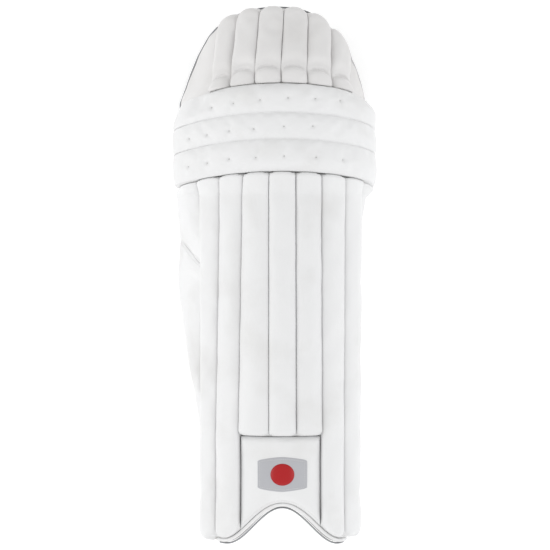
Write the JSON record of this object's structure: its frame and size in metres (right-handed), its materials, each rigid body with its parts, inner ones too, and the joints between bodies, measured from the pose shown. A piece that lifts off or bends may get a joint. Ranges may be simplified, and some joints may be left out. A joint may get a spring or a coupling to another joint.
{
  "type": "batting pad",
  "caption": "Cricket batting pad: a curved leg guard with long padded shin bolsters, arched knee rolls, a folded thigh flap, side wings and straps behind.",
  "frame": {"origin": "centre of the bottom of the bounding box, on the ground that the pad lies on", "axes": "+X to the right as the front is looked at, +Y from the foot to the thigh, +Z out of the front, up from the ground"},
  "size_m": [0.291, 0.7518, 0.1652],
  "materials": {
    "leather": "fine-grained white synthetic leather",
    "lining": "plain off-white lining",
    "binding": "grey bound edge",
    "webbing": "white woven strap",
    "patch": "plain smooth grey patch",
    "ball_red": "plain red"
  },
  "bodies": {
    "root": {"shin_backing": "lining", "knee_backing": "lining", "thigh_backing": "lining", "shin_bolster_1": "leather", "shin_bolster_2": "leather", "shin_bolster_3": "leather", "shin_bolster_4": "leather", "shin_bolster_5": "leather", "shin_bolster_6": "leather", "shin_bolster_7": "leather", "instep_panel": "leather", "badge": "patch", "badge_ball": "ball_red", "knee_roll_1": "leather", "knee_roll_2": "leather", "knee_roll_3": "leather", "thigh_bolster_1": "leather", "thigh_bolster_2": "leather", "thigh_bolster_3": "leather", "thigh_bolster_4": "leather", "thigh_bolster_5": "leather", "thigh_bolster_6": "leather", "outer_wing_lower": "leather", "outer_wing_upper": "leather", "inner_wing": "leather", "outer_knee_side": "leather", "outer_thigh_side": "leather", "outer_side_binding": "binding", "inner_knee_side": "leather", "inner_thigh_side": "leather", "inner_side_binding": "binding", "instep_binding": "binding", "instep_piping": "leather", "crest_binding": "binding", "knee_strap": "webbing", "calf_strap": "webbing", "ankle_strap": "webbing"}
  },
  "joints": []
}
